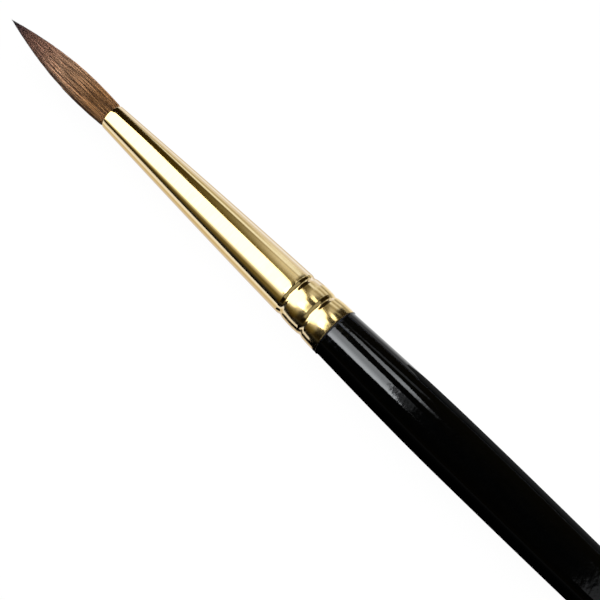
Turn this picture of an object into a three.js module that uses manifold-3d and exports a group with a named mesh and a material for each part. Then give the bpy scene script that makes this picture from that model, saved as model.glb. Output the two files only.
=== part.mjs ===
// A pointed round nail brush for liquid and powder work: a tuft of natural hair, glued and bound in
// a seamless tapered ferrule, which is crimped twice onto a turned and black lacquered handle.
//
// Everything but the hair and its binding thread is turned, so each piece is a profile revolved
// about the brush's axis. While it is made the axis is Y, and "along" counts millimetres from the
// ferrule's mouth towards the butt of the handle. "Out" counts the other way, from the mouth to the
// point of the hair. At the end the brush is laid down along +X on the swell of its handle.

import * as THREE from "three";
import { mergeVertices } from "three/addons/utils/BufferGeometryUtils.js";
import Module from "manifold-3d";

// ---------------------------------------------------------------- driving dimensions, millimetres

const OVERALL_LENGTH = 177.5; // from the point of the hair to the butt of the handle

// Ferrule: drawn brass tube, its small end round the hair and its large end on the handle.
const FERRULE_LENGTH = 38.35;
const FERRULE_WALL = 0.2;
const MOUTH_RADIUS = 1.69; // outside, at the hair
const RIM_RADIUS = 3.18; // outside, at the handle
const CONE_CROWN = 0.11; // how far the cone bows outwards between its ends
const LIP_CHAMFER = 0.08; // on the outer edges of the mouth and the rim

// Crimps: two rolled grooves and the barrel-shaped bands that they leave.
const CRIMP_FROM_RIM = 2.8; // middle of the groove nearer to the rim
const CRIMP_SPACING = 3.35;
const CRIMP_WIDTH = 1.1;
const CRIMP_DEPTH = 0.11;
const BAND_CROWN = 0.05;

// Hair that shows.
const HAIR_OUT = 19; // from the ferrule's mouth to the point
const BELLY_RADIUS = 1.79;
const BELLY_OUT = 4.7;
const FLARE_RADIUS = 1.64; // where the hair has spread over the mouth's edge
const FLARE_OUT = 0.5;
const POINT_FINENESS = 1.02; // 1 tapers as a parabola; more makes the point finer

// Strands: one in the middle and rings round it, glued in a root that fills the mouth.
const RINGS = 10;
const STRANDS_PER_RING = 5.5; // each ring holds this many more than the last
const STRAND_WIDTH = 0.92; // a strand's flat outer face, in strand pitches
const STRAND_DEPTH = 0.46; // and its depth towards the axis
const STRAND_SUNK = 0.3; // how far a strand is fused into the root
const UNEVEN_ENDS = 0.45; // how much shorter than its place allows a strand may be
const GATHER = 0.4; // share of the narrowing that ends strands; the rest draws them together
const ROOT_RECESS = 0.4; // from the mouth to the root's face
const ROOT_LENGTH = 11.5;
const ROOT_FIT = 0.02; // clearance round the root, and half of it between its layers

// Binding: thread whipped round the root, which it draws in to a waist.
const THREAD_RADIUS = 0.11;
const THREAD_TURNS = 3;
const THREAD_GAP = 0.46; // between one turn and the next
const THREAD_BITE = 0.1; // depth of the waist
const THREAD_FIT = 0.02;
const WAIST_MARGIN = 0.15; // plain waist beyond the end turns
const WAIST_EASE = 0.3; // length of the slope at each end of the waist

// Epoxy that locks the root's end in the ferrule.
const EPOXY_COVER = 2; // its reach forwards over the root
const EPOXY_BEHIND = 2.4; // its depth behind the root
const EPOXY_DISH = 0.35; // its back face has sunk as a dish
const EPOXY_TO_THREAD = 0.4;
const GLUE_FIT = 0.02; // clearance round set glue

// Handle: turned hardwood, dipped in black.
const HANDLE_RIM_RADIUS = 3.11;
const SWELL_RADIUS = 3.54;
const SWELL_FROM_RIM = 19;
const BUTT_RADIUS = 1.72;
const BUTT_DOME = 1.5; // length of the rounded end
const BUTT_FLAT_RADIUS = 0.8; // the small flat where the handle was parted off
const TAPER_EASE = 1.2; // 0 keeps the taper bulging to the butt; more draws its end in
const COAT = 0.12; // lacquer
const COAT_FIT = 0.02;
const BEAD_HEIGHT = 0.12; // ridge that the rim pushed up in the lacquer
const BEAD_LENGTH = 0.35;
const RIM_GAP = 0.03; // from the ferrule's rim to the lacquer's edge

// Tenon: the end of the handle inside the ferrule, with glue round its front.
const HOLLOW_LENGTH = 4.2; // air between the epoxy and the glue's front
const GLUE_POOL = 0.9; // glue pushed ahead of the nose
const TENON_NOSE = 1.2; // length of the rounded nose
const TENON_FIT = 0.03;
const GLUE_FILM = 0.14; // space for the glue round the tenon's front
const GLUE_TO_CRIMP = 0.5;

// Fineness of the faceted surfaces.
const FACETS = 28;
const CONE_STEPS = 6;
const BORE_STEPS = 3;
const CRIMP_STEPS = 4;
const BAND_STEPS = 4;
const SWELL_STEPS = 5;
const TAPER_STEPS = 8;
const DOME_STEPS = 4;
const NOSE_STEPS = 3;
const THREAD_STEPS = 24; // round one turn
const THREAD_SIDES = 6;
const BEAD_STATIONS = [0, 0.08, 0.25, 0.55]; // shares of the bead's length
const TAPER_STATIONS = [0.45, 0.78]; // where strands bend, as shares of the way from belly to point
const LEAST_TAPER = 0.8; // a strand doesn't bend nearer to its own end than this
const GOLDEN = (Math.sqrt(5) - 1) / 2; // spreads a strand's angle and end unlike its neighbours'
const WELD = 1e-5; // corners nearer than this are one

// -------------------------------------------------------------------------------------- outlines

const { lerp } = THREE.MathUtils;
const wasm = await Module();
wasm.setup();

/** Evenly spaced values from start to end, both included. */
function steps(start, end, count) {
  return Array.from({ length: count + 1 }, (_, index) => lerp(start, end, index / count));
}

/** A quarter ellipse of [radius, along] pairs, from its wide ring to its narrow end. */
function quarterRound(wide, narrow, start, length, count) {
  return steps(0, Math.PI / 2, count).map((angle) => [
    lerp(narrow, wide, Math.cos(angle)),
    start + length * Math.sin(angle),
  ]);
}

/** Revolves a profile that starts and ends on the axis and runs towards the butt on the outside. */
function turned(profile) {
  const points = profile.map(([radius, along]) => new THREE.Vector2(radius, along));
  return new THREE.LatheGeometry(points, FACETS, Math.PI / FACETS);
}

/** Revolves a profile that closes on itself away from the axis. */
function turnedRing(profile) {
  return turned([...profile, profile[0]]);
}

// --------------------------------------------------------------------------------------- ferrule

const farCrimp = FERRULE_LENGTH - CRIMP_FROM_RIM - CRIMP_SPACING;
const nearCrimp = FERRULE_LENGTH - CRIMP_FROM_RIM;
const crimps = [farCrimp, nearCrimp];
const halfCrimp = CRIMP_WIDTH / 2;
const bands = [
  [farCrimp + halfCrimp, nearCrimp - halfCrimp],
  [nearCrimp + halfCrimp, FERRULE_LENGTH],
];
const crimpStations = crimps.flatMap((middle) =>
  steps(middle - halfCrimp, middle + halfCrimp, CRIMP_STEPS),
);

/** The outside before it is crimped: a cone that bows out slightly. */
function coneRadius(along) {
  const share = along / FERRULE_LENGTH;
  return lerp(MOUTH_RADIUS, RIM_RADIUS, share) + CONE_CROWN * Math.sin(Math.PI * share);
}

/** How far the rolls pressed the wall in: one wave, deepest at a crimp's middle. */
function crimpDepth(along) {
  const away = Math.min(...crimps.map((middle) => Math.abs(along - middle))) / halfCrimp;
  return away < 1 ? (CRIMP_DEPTH * (1 + Math.cos(Math.PI * away))) / 2 : 0;
}

/** How far a band stands proud of the cone. */
function bandSwell(along) {
  const band = bands.find(([start, end]) => along > start && along < end);
  if (!band) return 0;
  return BAND_CROWN * Math.sin((Math.PI * (along - band[0])) / (band[1] - band[0]));
}

function ferruleOutside(along) {
  return coneRadius(along) - crimpDepth(along) + bandSwell(along);
}

/** The bore follows the cone and the crimps, while the bands are swollen on the outside only. */
function ferruleBore(along) {
  return coneRadius(along) - crimpDepth(along) - FERRULE_WALL;
}

function ferruleShape() {
  const cone = steps(LIP_CHAMFER, farCrimp - halfCrimp, CONE_STEPS).slice(0, -1);
  const swells = bands.flatMap(([start, end]) => steps(start, end, BAND_STEPS).slice(1, -1));
  const stations = [...cone, ...crimpStations, ...swells, FERRULE_LENGTH - LIP_CHAMFER];
  const outside = stations.sort((a, b) => a - b).map((along) => [ferruleOutside(along), along]);
  const boreStations = [
    ...steps(0, farCrimp - halfCrimp, BORE_STEPS).slice(0, -1),
    ...crimpStations,
    FERRULE_LENGTH,
  ];
  const bore = boreStations.map((along) => [ferruleBore(along), along]);
  return turnedRing([
    [ferruleOutside(0) - LIP_CHAMFER, 0],
    ...outside,
    [ferruleOutside(FERRULE_LENGTH) - LIP_CHAMFER, FERRULE_LENGTH],
    ...bore.reverse(),
  ]);
}

// ------------------------------------------------------------------------- root's size and epoxy

const rootRadius = ferruleBore(0) - ROOT_FIT;
const rootEnd = ROOT_RECESS + ROOT_LENGTH;
const spacesAcross = RINGS + 1 / 2; // from the middle to the outside, in strand pitches
const rootPitch = rootRadius / spacesAcross;
const epoxyFront = rootEnd - EPOXY_COVER;
const epoxyBack = rootEnd + EPOXY_BEHIND;

/** The back face has sunk as a parabola, which is given here by three points. */
function epoxyShape() {
  const cup = rootRadius + GLUE_FIT;
  const back = ferruleBore(epoxyBack) - GLUE_FIT;
  const dish = [1, 1 / 2, 0].map((share) => [
    back * share,
    epoxyBack - EPOXY_DISH * (1 - share ** 2),
  ]);
  return turned([
    [0, rootEnd + GLUE_FIT],
    [cup, rootEnd + GLUE_FIT],
    [cup, epoxyFront],
    [ferruleBore(epoxyFront) - GLUE_FIT, epoxyFront],
    ...dish,
  ]);
}

// ---------------------------------------------------------------------------------------- handle

const glueFront = epoxyBack + HOLLOW_LENGTH;
const glueBack = farCrimp - halfCrimp - GLUE_TO_CRIMP;
const tenonFront = glueFront + GLUE_POOL;
const noseEnd = tenonFront + TENON_NOSE;
const buttAlong = OVERALL_LENGTH - HAIR_OUT;
const handleLength = buttAlong - FERRULE_LENGTH; // what shows of it, from the rim to the butt

/** The finished outside: out to the swell in a quarter wave, then a long drawn-in taper. */
function handleRadius(fromRim) {
  if (fromRim < SWELL_FROM_RIM) {
    const quarter = (Math.PI / 2) * (fromRim / SWELL_FROM_RIM);
    return lerp(HANDLE_RIM_RADIUS, SWELL_RADIUS, Math.sin(quarter));
  }
  const share = (fromRim - SWELL_FROM_RIM) / (handleLength - BUTT_DOME - SWELL_FROM_RIM);
  return lerp(SWELL_RADIUS, BUTT_RADIUS, share ** 2 * (1 + TAPER_EASE * (1 - share)));
}

/** The outline an inset below that outside, from near the rim to the middle of the butt. */
function handleOutline(inset, start) {
  const domeStart = handleLength - BUTT_DOME - inset;
  const stations = [
    ...steps(start, SWELL_FROM_RIM, SWELL_STEPS),
    ...steps(SWELL_FROM_RIM, domeStart, TAPER_STEPS).slice(1, -1),
  ];
  const barrel = stations.map((fromRim) => [handleRadius(fromRim) - inset, FERRULE_LENGTH + fromRim]);
  const widest = handleRadius(domeStart) - inset;
  const domeAlong = FERRULE_LENGTH + domeStart;
  const dome = quarterRound(widest, BUTT_FLAT_RADIUS, domeAlong, BUTT_DOME, DOME_STEPS);
  return [...barrel, ...dome, [0, buttAlong - inset]];
}

function lacquerShape() {
  const bead = BEAD_STATIONS.map((share) => {
    const fromRim = RIM_GAP + share * BEAD_LENGTH;
    const height = BEAD_HEIGHT * Math.sin(Math.PI * Math.sqrt(share));
    return [handleRadius(fromRim) + height, FERRULE_LENGTH + fromRim];
  });
  const inside = handleOutline(COAT, RIM_GAP).reverse();
  return turned([...inside, ...bead, ...handleOutline(0, RIM_GAP + BEAD_LENGTH)]);
}

function woodShape() {
  const noseRadius = ferruleBore(noseEnd) - GLUE_FILM;
  const nose = quarterRound(noseRadius, 0, noseEnd, -TENON_NOSE, NOSE_STEPS).reverse();
  const seatStations = [glueBack, ...crimpStations, FERRULE_LENGTH + RIM_GAP];
  const seat = seatStations.map((along) => [ferruleBore(along) - TENON_FIT, along]);
  return turned([
    ...nose,
    [ferruleBore(glueBack) - GLUE_FILM, glueBack],
    ...seat,
    ...handleOutline(COAT + COAT_FIT, RIM_GAP),
  ]);
}

/** Glue fills the space between the bore and the tenon's front, and closes over the nose. */
function glueShape() {
  const end = glueBack - GLUE_FIT;
  const noseRadius = ferruleBore(noseEnd) - GLUE_FILM + GLUE_FIT;
  const overNose = quarterRound(noseRadius, 0, noseEnd, -TENON_NOSE - GLUE_FIT, NOSE_STEPS);
  return turned([
    [0, glueFront],
    [ferruleBore(glueFront) - GLUE_FIT, glueFront],
    [ferruleBore(end) - GLUE_FIT, end],
    [ferruleBore(end) - GLUE_FILM + GLUE_FIT, end],
    ...overNose,
  ]);
}

// ------------------------------------------------------------------------------- closed loft bodies

/** Joins sections of equally many points into a closed body; the last may be a single point. */
function lofted(sections) {
  const sides = sections[0].length;
  const index = [];
  const first = (section) => section * sides;
  for (let side = 1; side < sides - 1; side++) index.push(0, side + 1, side);
  for (let section = 0; section < sections.length - 1; section++) {
    const pointed = sections[section + 1].length === 1;
    for (let side = 0; side < sides; side++) {
      const here = first(section) + side;
      const next = first(section) + ((side + 1) % sides);
      if (pointed) index.push(here, next, first(section + 1));
      else index.push(here, next, next + sides, here, next + sides, here + sides);
    }
  }
  const end = sections.length - 1;
  const isFlat = sections[end].length === sides;
  for (let side = 1; isFlat && side < sides - 1; side++)
    index.push(first(end), first(end) + side, first(end) + side + 1);
  const body = new THREE.BufferGeometry().setFromPoints(sections.flat());
  return body.setIndex(index);
}

// ---------------------------------------------------------------------------------------- thread

const threadPitch = 2 * THREAD_RADIUS + THREAD_GAP;
const threadBack = epoxyFront - EPOXY_TO_THREAD;
const threadFront = threadBack - THREAD_TURNS * threadPitch;
const waistRadius = rootRadius - THREAD_BITE;
const waistFront = threadFront - THREAD_RADIUS - WAIST_MARGIN;
const waistBack = threadBack + THREAD_RADIUS + WAIST_MARGIN;
/** The thread's middle clears the waist by its fit, also halfway between two of its steps. */
const threadPath = (waistRadius + THREAD_FIT + THREAD_RADIUS) / Math.cos(Math.PI / THREAD_STEPS);

function threadShape() {
  const slope = Math.atan2(threadPitch, 2 * Math.PI * threadPath);
  const middles = [];
  const sections = steps(0, THREAD_TURNS, THREAD_TURNS * THREAD_STEPS).map((turn) => {
    const angle = 2 * Math.PI * turn;
    const outwards = new THREE.Vector3(Math.sin(angle), 0, Math.cos(angle));
    const onward = new THREE.Vector3(Math.cos(angle), Math.tan(slope), -Math.sin(angle)).normalize();
    const across = new THREE.Vector3().crossVectors(onward, outwards);
    const middle = outwards.clone().multiplyScalar(threadPath);
    middle.y = threadFront + turn * threadPitch;
    middles.push(middle);
    const points = Array.from({ length: THREAD_SIDES }, (_, side) => {
      const around = (2 * Math.PI * side) / THREAD_SIDES;
      return middle
        .clone()
        .addScaledVector(outwards, THREAD_RADIUS * Math.cos(around))
        .addScaledVector(across, THREAD_RADIUS * Math.sin(around));
    });
    return { onward, points };
  });
  const straight = (section, way) =>
    section.points.map((point) => point.clone().addScaledVector(section.onward, way));
  const leadIn = straight(sections[0], -2 * THREAD_RADIUS);
  const leadOut = straight(sections.at(-1), 2 * THREAD_RADIUS);
  printLeastGap(middles);
  return lofted([leadIn, ...sections.map(({ points }) => points), leadOut]);
}

/** Measures the open space between the thread's turns on the points of its middle line. */
function printLeastGap(middles) {
  let least = Infinity;
  middles.forEach((point, index) => {
    for (const other of middles.slice(index + THREAD_STEPS / 2))
      least = Math.min(least, point.distanceTo(other) - 2 * THREAD_RADIUS);
  });
  console.log(`root_thread: ${THREAD_TURNS} turns, least gap to itself ${least.toFixed(3)} mm`);
}

// ------------------------------------------------------------------------------------------ hair

const tapers = TAPER_STATIONS.map((share) => lerp(BELLY_OUT, HAIR_OUT, share));
/** The tuft's layers, from the middle outwards: their rings, and where their strands bend. */
const LAYERS = [
  { name: "hair_core", rings: [0, 4], bends: tapers },
  { name: "hair_inner", rings: [5, 6], bends: tapers },
  { name: "hair_middle", rings: [7, 8], bends: [BELLY_OUT, ...tapers] },
  { name: "hair_belly", rings: [9, RINGS], bends: [0, FLARE_OUT, BELLY_OUT] },
];

/** The tuft's outside radius from the mouth over the flare to the belly, and on to the point. */
function tuftRadius(out) {
  if (out <= 0) return rootRadius;
  if (out < FLARE_OUT) return lerp(rootRadius, FLARE_RADIUS, out / FLARE_OUT);
  const toBelly = (out - FLARE_OUT) / (BELLY_OUT - FLARE_OUT);
  if (out < BELLY_OUT) return lerp(FLARE_RADIUS, BELLY_RADIUS, toBelly);
  const toPoint = (out - BELLY_OUT) / (HAIR_OUT - BELLY_OUT);
  return BELLY_RADIUS * (1 - toPoint ** 2) ** POINT_FINENESS;
}

/** The distance between neighbouring strands; past the belly it narrows less than the tuft does. */
function strandPitch(out) {
  if (out < BELLY_OUT) return tuftRadius(out) / spacesAcross;
  return (BELLY_RADIUS / spacesAcross) * (tuftRadius(out) / BELLY_RADIUS) ** (1 - GATHER);
}

/** How far out a ring of strands comes to the tuft's outside, and so ends. */
function ringEnd(ring) {
  const share = Math.sqrt(1 - (ring / spacesAcross) ** (1 / (GATHER * POINT_FINENESS)));
  return lerp(BELLY_OUT, HAIR_OUT, share);
}

/** One strand: a three-sided blade, flat on its outer face, that runs to a point. */
function strandShape(ring, angle, out, bends) {
  const outwards = new THREE.Vector3(Math.sin(angle), 0, Math.cos(angle));
  const across = new THREE.Vector3(Math.cos(angle), 0, -Math.sin(angle));
  const middle = (station) =>
    new THREE.Vector3(0, -station, 0).addScaledVector(outwards, ring * strandPitch(station));
  const rootStation = -ROOT_RECESS - STRAND_SUNK;
  const stations = [rootStation, ...bends.filter((station) => station < out - LEAST_TAPER)];
  const sections = stations.map((station) => {
    const halfWidth = (STRAND_WIDTH / 2) * strandPitch(station);
    const halfDepth = (STRAND_DEPTH / 2) * strandPitch(station);
    const face = middle(station).addScaledVector(outwards, halfDepth);
    return [
      face.clone().addScaledVector(across, halfWidth),
      face.clone().addScaledVector(across, -halfWidth),
      middle(station).addScaledVector(outwards, -halfDepth),
    ];
  });
  return lofted([...sections, [middle(out)]]);
}

/**
 * The strands of one ring, each ending a little short of its place by its own amount. The outer
 * ring, which alone bends over the mouth's edge, has a strand's face straight down.
 */
function ringStrands(ring, layerBends) {
  const count = ring ? Math.round(STRANDS_PER_RING * ring) : 1;
  const bends = layerBends.filter((bend) => bend !== FLARE_OUT || ring === RINGS);
  return Array.from({ length: count }, (_, index) => {
    const turn = 1 / 2 + (RINGS - ring) * GOLDEN;
    const angle = (2 * Math.PI * (index + turn)) / count;
    const short = ring ? UNEVEN_ENDS * ((GOLDEN * (index + ring)) % 1) : 0;
    return strandShape(ring, angle, ringEnd(ring) - short, bends);
  });
}

/** The slice of the glued root that a layer's strands grow from. */
function rootSlice([first, last]) {
  const inner = (first - 1 / 2) * rootPitch + ROOT_FIT / 2;
  const outer = (last + 1 / 2) * rootPitch - ROOT_FIT / 2;
  const face = ROOT_RECESS;
  if (first === 0) return turned([[0, face], [outer, face], [outer, rootEnd], [0, rootEnd]]);
  if (last < RINGS) return turnedRing([[inner, face], [outer, face], [outer, rootEnd], [inner, rootEnd]]);
  return turnedRing([
    [inner, face],
    [rootRadius, face],
    [rootRadius, waistFront - WAIST_EASE],
    [waistRadius, waistFront],
    [waistRadius, waistBack],
    [rootRadius, waistBack + WAIST_EASE],
    [rootRadius, rootEnd],
    [inner, rootEnd],
  ]);
}

/** Turns a geometry into a solid that can be joined, its doubled corners and empty faces gone. */
function toSolid(geometry) {
  geometry.deleteAttribute("normal");
  geometry.deleteAttribute("uv");
  const merged = mergeVertices(geometry, WELD);
  const corners = Array.from(merged.index.array);
  const faces = [];
  for (let i = 0; i < corners.length; i += 3) {
    const [a, b, c] = corners.slice(i, i + 3);
    if (a !== b && b !== c && c !== a) faces.push(a, b, c);
  }
  const vertProperties = new Float32Array(merged.attributes.position.array);
  const triVerts = new Uint32Array(faces);
  return new wasm.Manifold(new wasm.Mesh({ numProp: 3, vertProperties, triVerts }));
}

function hairShape({ rings, bends }) {
  const [first, last] = rings;
  let solid = toSolid(rootSlice(rings));
  for (let ring = first; ring <= last; ring++)
    for (const strand of ringStrands(ring, bends)) solid = solid.add(toSolid(strand));
  const { vertProperties, triVerts } = solid.getMesh();
  const geometry = new THREE.BufferGeometry();
  geometry.setAttribute("position", new THREE.BufferAttribute(vertProperties, 3));
  geometry.setIndex(new THREE.BufferAttribute(triVerts, 1));
  return geometry;
}

// -------------------------------------------------------------------------------------- assembly

const finishes = {
  gold: { color: 0xd9a441, roughness: 0.16, metalness: 1 },
  blackLacquer: { color: 0x0a0a0c, roughness: 0.07, metalness: 0 },
  wood: { color: 0xc39b6a, roughness: 0.65, metalness: 0 },
  glue: { color: 0xe6d9b2, roughness: 0.4, metalness: 0 },
  epoxy: { color: 0xc9a45c, roughness: 0.3, metalness: 0 },
  thread: { color: 0xe9e3d3, roughness: 0.85, metalness: 0 },
  hair: { color: 0x7a4a26, roughness: 0.5, metalness: 0 },
};

const lying = new THREE.Group();

function addPiece(name, geometry, finish) {
  geometry.computeVertexNormals();
  const piece = new THREE.Mesh(geometry, new THREE.MeshStandardMaterial(finishes[finish]));
  piece.name = name;
  lying.add(piece);
}

addPiece("ferrule", ferruleShape(), "gold");
addPiece("handle_wood", woodShape(), "wood");
addPiece("handle_lacquer", lacquerShape(), "blackLacquer");
addPiece("tenon_glue", glueShape(), "glue");
addPiece("root_epoxy", epoxyShape(), "epoxy");
addPiece("root_thread", threadShape(), "thread");
for (const layer of LAYERS) addPiece(layer.name, hairShape(layer), "hair");

// The axis turns from Y to X, the middle of the length comes to X = 0, and a facet of the swell
// lies on Z = 0.
lying.rotation.z = -Math.PI / 2;
lying.position.x = (HAIR_OUT - buttAlong) / 2;
lying.position.z = SWELL_RADIUS * Math.cos(Math.PI / FACETS);

const brush = new THREE.Group();
brush.add(lying);
export default brush;
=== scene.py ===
# %% [markdown]
# # A pointed nail brush
#
# This lesson dresses a small round brush for acrylic nails: brown natural hair drawn to a point, a
# gold ferrule with two rolled crimps, and a wooden handle dipped in black lacquer.
# The engineering model is loaded first and stays where it is. Its boxes give the lengths and the
# axis, and the fine surfaces below are worked out round that axis.

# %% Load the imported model
import math

import bpy
import numpy as np
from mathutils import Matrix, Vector


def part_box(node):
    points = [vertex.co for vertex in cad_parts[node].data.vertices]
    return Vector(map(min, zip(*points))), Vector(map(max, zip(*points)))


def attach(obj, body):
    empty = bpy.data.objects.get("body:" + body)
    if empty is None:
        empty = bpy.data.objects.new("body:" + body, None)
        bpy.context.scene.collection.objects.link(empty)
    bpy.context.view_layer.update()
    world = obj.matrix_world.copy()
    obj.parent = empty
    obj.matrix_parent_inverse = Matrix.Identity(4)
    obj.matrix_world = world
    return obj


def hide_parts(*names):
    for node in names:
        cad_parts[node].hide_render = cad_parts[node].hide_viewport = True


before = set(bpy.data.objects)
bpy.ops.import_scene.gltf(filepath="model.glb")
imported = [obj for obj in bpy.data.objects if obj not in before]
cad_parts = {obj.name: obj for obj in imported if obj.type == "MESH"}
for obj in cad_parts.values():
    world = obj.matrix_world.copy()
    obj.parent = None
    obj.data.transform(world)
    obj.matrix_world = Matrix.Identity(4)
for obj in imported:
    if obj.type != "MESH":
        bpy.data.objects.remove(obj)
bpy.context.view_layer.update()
MM = 0.001


print("nodes:", ", ".join(sorted(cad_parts)))

# %% [markdown]
# ## Sizes
#
# The brush lies along X, its point towards -X. Lengths are named here in metres, with MM to keep
# them readable. What the model's boxes can say is read from them: where the ferrule starts and ends,
# where the point and the butt are, and how high the axis lies above the table.
# The rest are the drawing sizes that the solids were turned to.

# %% Sizes from the model and from the drawing
ferrule_low, ferrule_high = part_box("ferrule")
MOUTH_X, RIM_X = ferrule_low.x, ferrule_high.x
AXIS_Z = (ferrule_low.z + ferrule_high.z) / 2
POINT_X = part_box("hair_core")[0].x
BUTT_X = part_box("handle_lacquer")[1].x
FERRULE_LENGTH = RIM_X - MOUTH_X
HAIR_OUT = MOUTH_X - POINT_X
HANDLE_LENGTH = BUTT_X - RIM_X

MOUTH_RADIUS = 1.69 * MM
RIM_RADIUS = 3.18 * MM
WALL = 0.2 * MM
CONE_CROWN = 0.11 * MM
CRIMP_FROM_RIM = 2.8 * MM
CRIMP_SPACING = 3.35 * MM
CRIMP_WIDTH = 1.1 * MM
CRIMP_DEPTH = 0.11 * MM
BAND_CROWN = 0.05 * MM
print(f"hair {HAIR_OUT / MM:.2f}, ferrule {FERRULE_LENGTH / MM:.2f}, handle {HANDLE_LENGTH / MM:.2f} mm")

# %% [markdown]
# ## From formulas to meshes
#
# Nearly everything here is round, so two helpers do most of the work. One turns arrays of corners
# and faces into a mesh object. The other revolves a profile about the brush's axis. The profile's
# radius may vary with the angle, which is how a wave in a surface gets into the mesh.
# Blender's Screw modifier could revolve a profile too, but arrays keep the formula in sight.

# %% Arrays to a mesh object
def add_mesh(name, corners, faces):
    """Makes an object from an (n, 3) array of corners and lists of face indices, shaded smooth.

    The signed volume is the sum of a . (b x c) / 6 over fans of triangles. It is positive where
    the faces point outwards, so a body that comes out negative has its faces turned over."""
    volume = 0.0
    for group in faces:
        for second in range(1, group.shape[1] - 1):
            a, b, c = (corners[group[:, k]] for k in (0, second, second + 1))
            volume += np.einsum("ij,ij->i", a, np.cross(b, c)).sum() / 6
    if volume < 0:
        faces = [group[:, ::-1] for group in faces]
    mesh = bpy.data.meshes.new(name)
    mesh.from_pydata(corners, [], [face for group in faces for face in group.tolist()])
    mesh.shade_smooth()
    piece = bpy.data.objects.new(name, mesh)
    bpy.context.scene.collection.objects.link(piece)
    triangles = sum(len(group) * (group.shape[1] - 2) for group in faces)
    print(f"{name}: {len(corners)} corners, {triangles} triangles, {abs(volume) / MM**3:.2f} mm3")
    return piece


# %% Revolve a profile
def ring_faces(rings, around, closed):
    """Quads between neighbouring rings of a grid, whose corner number is ring * around + place."""
    ring = np.arange(rings if closed else rings - 1)[:, None]
    place = np.arange(around)[None, :]
    here = ring * around + place
    beside = ring * around + (place + 1) % around
    onward = ((ring + 1) % rings) * around
    quads = np.stack([here, beside, onward + (place + 1) % around, onward + place], axis=-1)
    return quads.reshape(-1, 4)


def revolved(x, radius, around, closed=True, wave=None):
    """Corners and faces of a turned body: (x, r sin t, axis + r cos t) for each angle t.

    A closed profile joins its last ring to its first. An open one has its ends on the axis, where
    a fan of triangles closes each pole. wave(x, t) adds to the radius."""
    angle = 2 * np.pi * np.arange(around) / around
    grid_x, grid_angle = np.meshgrid(x, angle, indexing="ij")
    r = np.repeat(np.asarray(radius)[:, None], around, axis=1)
    if wave is not None:
        r = r + wave(grid_x, grid_angle)
    corners = np.stack([grid_x, r * np.sin(grid_angle), AXIS_Z + r * np.cos(grid_angle)], axis=-1)
    if closed:
        return corners.reshape(-1, 3), [ring_faces(len(x), around, True)]
    inner = corners[1:-1].reshape(-1, 3)
    poles = np.array([[x[0], 0, AXIS_Z], [x[-1], 0, AXIS_Z]])
    first, last = len(inner), len(inner) + 1
    place = np.arange(around)
    beside = (place + 1) % around
    final = (len(x) - 3) * around
    fans = np.concatenate([
        np.stack([np.full(around, first), beside, place], axis=-1),
        np.stack([np.full(around, last), final + place, final + beside], axis=-1),
    ])
    return np.concatenate([inner, poles]), [ring_faces(len(x) - 2, around, False), fans]


# %% [markdown]
# ## The ferrule's surface
#
# The ferrule is one seamless tube: a slightly bowed cone, two grooves that rolls pressed in to grip
# the handle, and the barrel-shaped bands that they leave. Its edges are rounded, not sharp, and
# those narrow rounds catch a fine line of light.
# A lathe profile suits it, close-set at the grooves, where reflections bend quickly.

# %% The ferrule's outline
crimp_middles = FERRULE_LENGTH - CRIMP_FROM_RIM - np.array([CRIMP_SPACING, 0])
groove_edges = [(middle - CRIMP_WIDTH / 2, middle + CRIMP_WIDTH / 2) for middle in crimp_middles]
band_edges = [(groove_edges[0][1], groove_edges[1][0]), (groove_edges[1][1], FERRULE_LENGTH)]
CONE_STATIONS = 60
CRIMPED_STATIONS = 150
LIP_STATIONS = 8


def cone_radius(along):
    """A straight cone plus half a sine wave, which bows it out by CONE_CROWN in the middle."""
    share = along / FERRULE_LENGTH
    return MOUTH_RADIUS + (RIM_RADIUS - MOUTH_RADIUS) * share + CONE_CROWN * np.sin(np.pi * share)


def crimp_depth(along):
    """One cosine wave for each groove, CRIMP_DEPTH deep in its middle."""
    away = np.abs(along[:, None] - crimp_middles).min(axis=1) / (CRIMP_WIDTH / 2)
    return np.where(away < 1, CRIMP_DEPTH * (1 + np.cos(np.pi * away)) / 2, 0)


def band_swell(along):
    """Half a sine wave over each band behind a groove."""
    swell = np.zeros_like(along)
    for start, end in band_edges:
        share = np.clip((along - start) / (end - start), 0, 1)
        swell += BAND_CROWN * np.sin(np.pi * share)
    return swell


def ferrule_profile():
    """The outside from mouth to rim and the bore back again, with half a circle round each lip."""
    lip = WALL / 2
    cone = np.linspace(lip, groove_edges[0][0], CONE_STATIONS)
    crimped = np.linspace(cone[-1], FERRULE_LENGTH - lip, CRIMPED_STATIONS)[1:]
    outside = np.concatenate([cone, crimped])
    outer_radius = cone_radius(outside) - crimp_depth(outside) + band_swell(outside)
    bore = outside[::-1]
    bore_radius = cone_radius(bore) - crimp_depth(bore) - WALL
    turn = np.linspace(0, np.pi, LIP_STATIONS + 2)[1:-1]
    across = (1 - np.cos(turn)) / 2
    rim = outside[-1] + lip * np.sin(turn)
    rim_radius = outer_radius[-1] + (bore_radius[0] - outer_radius[-1]) * across
    mouth = outside[0] - lip * np.sin(turn)
    mouth_radius = bore_radius[-1] + (outer_radius[0] - bore_radius[-1]) * across
    along = np.concatenate([outside, rim, bore, mouth])
    radius = np.concatenate([outer_radius, rim_radius, bore_radius, mouth_radius])
    return MOUTH_X + along, radius


# %% Build the ferrule
FERRULE_AROUND = 160
gold_ferrule = add_mesh("gold_ferrule", *revolved(*ferrule_profile(), FERRULE_AROUND))
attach(gold_ferrule, "root")
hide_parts("ferrule")

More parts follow.
